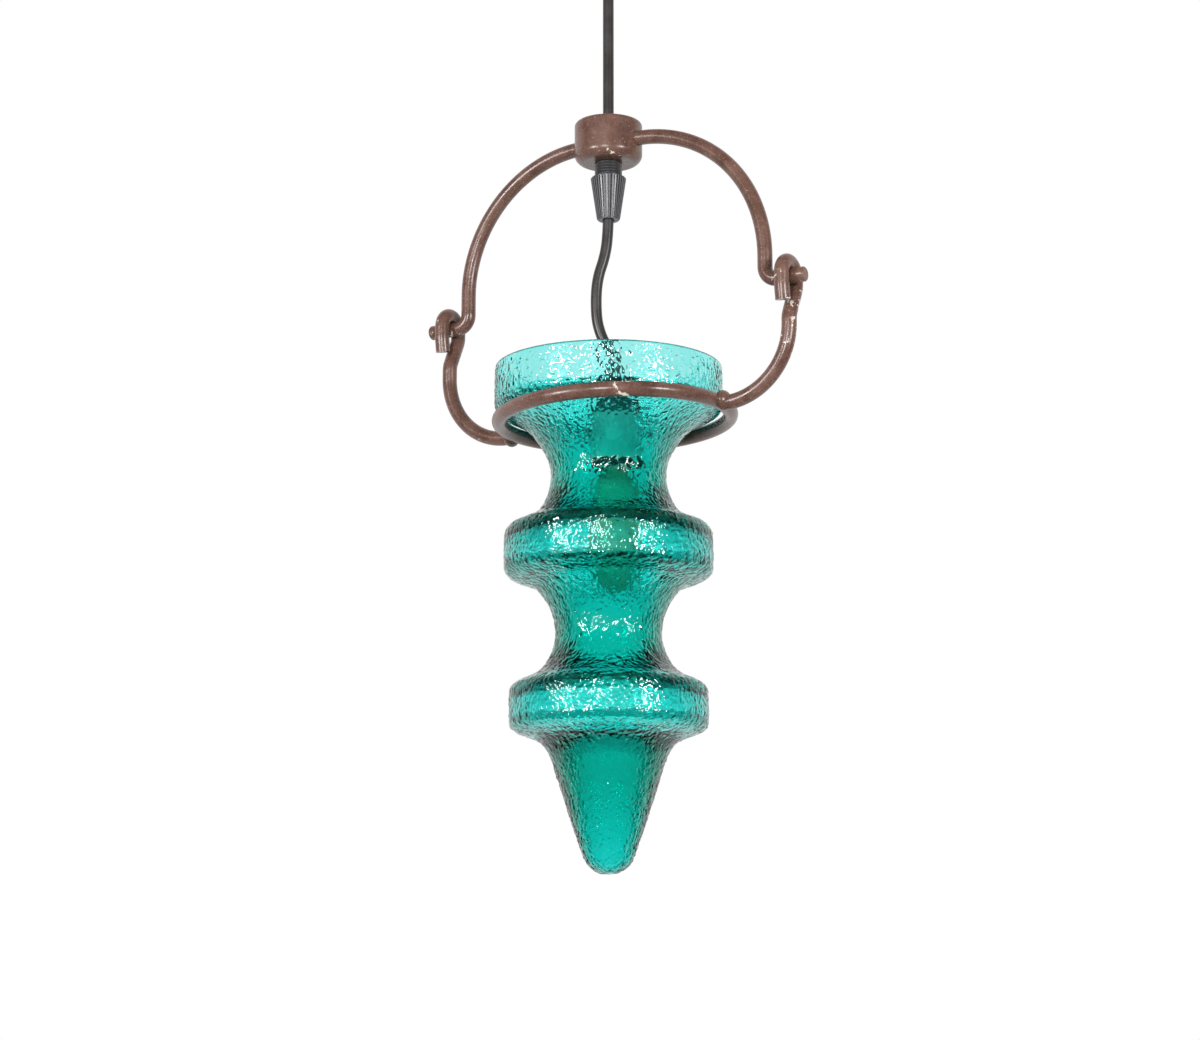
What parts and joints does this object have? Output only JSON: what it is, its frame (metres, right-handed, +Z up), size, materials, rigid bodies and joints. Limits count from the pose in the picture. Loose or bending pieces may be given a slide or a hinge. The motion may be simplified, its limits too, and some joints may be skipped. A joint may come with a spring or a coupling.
{
  "type": "pendant lamp",
  "caption": "Glass pendant lamp: a flanged, pebbled turquoise shade hung in a ring cradle that swings on an arched iron yoke, on a cord from a small ceiling cup.",
  "frame": {"origin": "middle of the ceiling plate's top face, where the plate meets the ceiling", "axes": "+Z up, out of the ceiling plate's top face; X along the line on which the cradle hinges in the yoke; the hooks' cut ends face -Y"},
  "size_m": [0.2335, 0.132, 0.552],
  "materials": {
    "brown_paint": "semi-gloss brown paint, speckled and chipped",
    "teal_glass": "pebbled mould-blown turquoise glass",
    "black_plastic": "satin moulded plastic",
    "black_rubber": "soft matt rubber",
    "cord_sheath": "smooth round sheath, satin",
    "white_plastic": "moulded, slightly glossy",
    "zinc_steel": "zinc plated",
    "brass": "pressed brass",
    "nickel_shell": "rolled screw shell",
    "solder": "solder button",
    "black_glass": "fused insulator",
    "opal_glass": "cream, satin"
  },
  "bodies": {
    "ceiling": {"ceiling_plate": "zinc_steel", "ceiling_cup": "brown_paint", "cup_screws": "zinc_steel", "cup_nose": "black_plastic", "terminal_block": "white_plastic", "terminal_screws": "brass", "supply_tail": "cord_sheath"},
    "ball": {"cord_ball": "black_plastic"},
    "cord": {"suspension_cord": "cord_sheath"},
    "yoke": {"boss": "brown_paint", "yoke_rod_left": "brown_paint", "yoke_rod_right": "brown_paint", "grip_nipple": "black_plastic", "lower_cord": "cord_sheath"},
    "olive": {"grip_olive": "black_rubber"},
    "nut": {"grip_nut": "black_plastic"},
    "cradle": {"support_ring": "brown_paint", "cradle_arm_left": "brown_paint", "cradle_arm_right": "brown_paint", "arm_welds": "brown_paint"},
    "glass": {"glass_shade": "teal_glass"},
    "holder": {"holder_entry": "black_plastic", "holder_cap": "black_plastic", "holder_body": "white_plastic", "holder_shell": "brass", "holder_contact": "brass"},
    "bulb_button": {"bulb_tip": "solder"},
    "bulb": {"bulb_glass": "opal_glass", "bulb_base": "nickel_shell", "bulb_insulator": "black_glass"}
  },
  "joints": [
    {"name": "lamp_swing_sideways", "type": "hinge", "parent": "ceiling", "child": "ball", "pos_m": [0, 0, -0.054], "axis": [0, 1, 0], "range_deg": [-15, 15]},
    {"name": "lamp_swing_fore_aft", "type": "hinge", "parent": "ball", "child": "cord", "pos_m": [0, 0, -0.054], "axis": [1, 0, 0], "range_deg": [-15, 15]},
    {"name": "lamp_twist", "type": "hinge", "parent": "cord", "child": "yoke", "pos_m": [0, 0, -0.15], "axis": [0, 0, 1], "range_deg": [-180, 180], "stiffness_Nm_per_rad": 0.02},
    {"name": "cradle_swing", "type": "hinge", "parent": "yoke", "child": "cradle", "pos_m": [0, 0, -0.246], "axis": [1, 0, 0], "range_deg": [-60, 60], "deforming": ["lower_cord"]},
    {"name": "holder_swing", "type": "hinge", "parent": "yoke", "child": "holder", "pos_m": [0, 0, -0.246], "axis": [1, 0, 0], "range_deg": [-60, 60]},
    {"name": "glass_lift", "type": "slide", "parent": "cradle", "child": "glass", "axis": [0, 0, 1], "range_m": [0, 0.045]},
    {"name": "bulb_advance", "type": "slide", "parent": "holder", "child": "bulb_button", "axis": [0, 0, -1], "range_m": [0, 0.0141]},
    {"name": "bulb_turn", "type": "hinge", "parent": "bulb_button", "child": "bulb", "pos_m": [0.0043, 0, -0.33], "axis": [0, 0, -1], "range_deg": [0, 1800.5]},
    {"name": "nut_advance", "type": "slide", "parent": "yoke", "child": "olive", "axis": [0, 0, -1], "range_m": [0, 0.006]},
    {"name": "nut_turn", "type": "hinge", "parent": "olive", "child": "nut", "pos_m": [0, 0, -0.186], "axis": [0, 0, -1], "range_deg": [0, 2160.5]}
  ],
  "couplings": [
    {"joint": "holder_swing", "follows": "cradle_swing", "ratio": 1},
    {"joint": "bulb_turn", "follows": "bulb_advance", "rad_per_m": 2228.1},
    {"joint": "nut_turn", "follows": "nut_advance", "rad_per_m": 6283.2}
  ]
}
